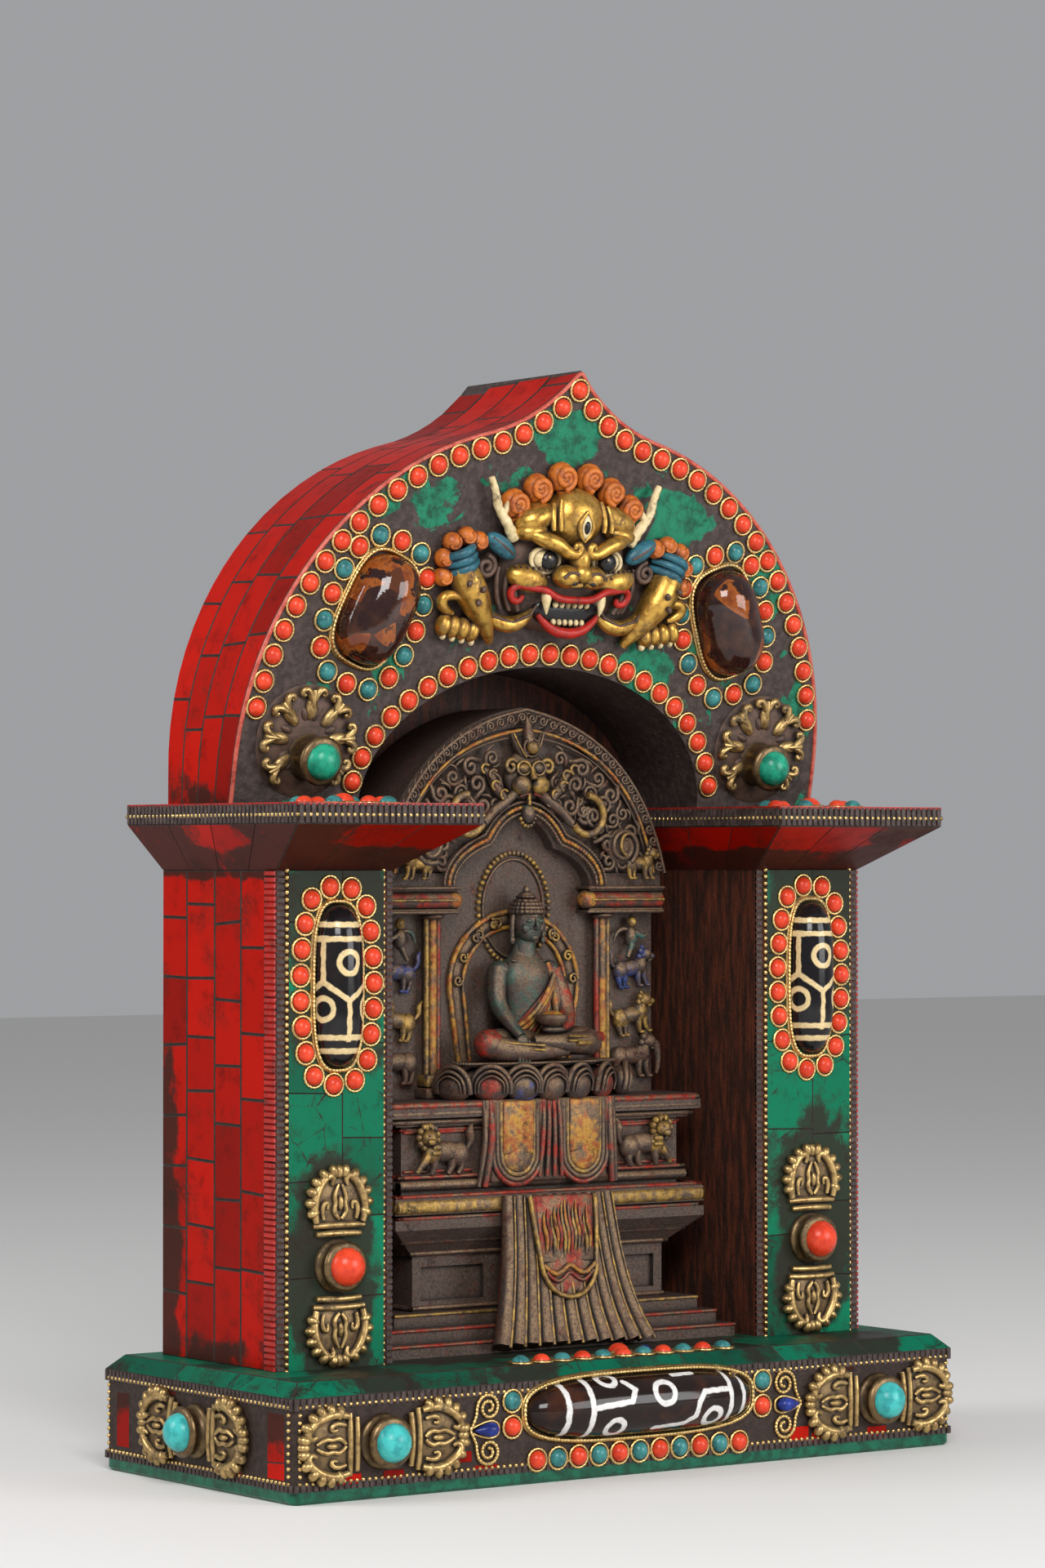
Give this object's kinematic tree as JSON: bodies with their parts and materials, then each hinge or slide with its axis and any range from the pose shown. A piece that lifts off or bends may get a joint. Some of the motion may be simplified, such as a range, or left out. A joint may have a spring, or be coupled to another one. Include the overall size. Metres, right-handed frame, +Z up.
{
  "type": "niche shrine",
  "caption": "Table-top niche shrine: inlaid plinth, two pillars and an ogee arch set with stones and a lion mask, round a carved throne with a seated figure.",
  "frame": {"origin": "centre of the plinth's underside", "axes": "+Z up, +Y to the back, the niche opens to -Y, +X to the right seen from the front"},
  "size_m": [0.2132, 0.0914, 0.27],
  "materials": {
    "coral": "polished coral stone",
    "turquoise": "polished turquoise stone",
    "malachite": "polished green stone tiles with dark cracks",
    "red_mosaic": "polished red stone tiles with dark joints",
    "arch_pitch": "dark pitch with worn green stone, red tiles round the outside",
    "banded_agate": "polished banded agate",
    "gilt_brass": "worn gilding with dark recesses",
    "painted_ivory": "cream paint",
    "painted_orange": "orange paint",
    "dark_wood": "dark stain",
    "painted_bronze": "worn paint over dark bronze"
  },
  "bodies": {
    "root": {"arch": "arch_pitch", "arch_opening_corals": "coral", "arch_rim_corals": "coral", "back_panel": "dark_wood", "bead_collars": "gilt_brass", "bead_corals": "coral", "bead_turquoises": "turquoise", "boss_corals": "coral", "boss_turquoises": "turquoise", "cornice_corals": "coral", "cornice_turquoises": "turquoise", "gable": "painted_bronze", "gable_mask": "painted_bronze", "gable_volutes": "painted_bronze", "halo": "painted_bronze", "left_arch_bead": "banded_agate", "left_column": "painted_bronze", "left_cornice": "red_mosaic", "left_end_plaque": "gilt_brass", "left_lion_arm": "gilt_brass", "left_medallion": "gilt_brass", "left_pillar": "red_mosaic", "left_pillar_bead": "banded_agate", "left_pillar_face": "malachite", "left_pillar_plaque": "gilt_brass", "left_plinth_plaque": "gilt_brass", "left_side_beasts": "painted_bronze", "left_throne_lion": "painted_bronze", "lion_face": "gilt_brass", "lion_horns": "painted_ivory", "lion_mane": "painted_orange", "lotus_seat": "painted_bronze", "plinth_bead": "banded_agate", "plinth_core": "red_mosaic", "plinth_foot": "malachite", "plinth_top": "malachite", "right_arch_bead": "banded_agate", "right_column": "painted_bronze", "right_cornice": "red_mosaic", "right_end_plaque": "gilt_brass", "right_lion_arm": "gilt_brass", "right_medallion": "gilt_brass", "right_pillar": "red_mosaic", "right_pillar_bead": "banded_agate", "right_pillar_face": "malachite", "right_pillar_plaque": "gilt_brass", "right_plinth_plaque": "gilt_brass", "right_side_beasts": "painted_bronze", "right_throne_lion": "painted_bronze", "seated_figure": "painted_bronze", "shrine_steps": "painted_bronze", "shrine_wall": "painted_bronze", "throne_cloth": "painted_bronze", "throne_cornice": "painted_bronze", "throne_dado": "painted_bronze", "throne_drape": "painted_bronze", "throne_panel": "painted_bronze", "throne_top": "painted_bronze"}
  },
  "joints": []
}
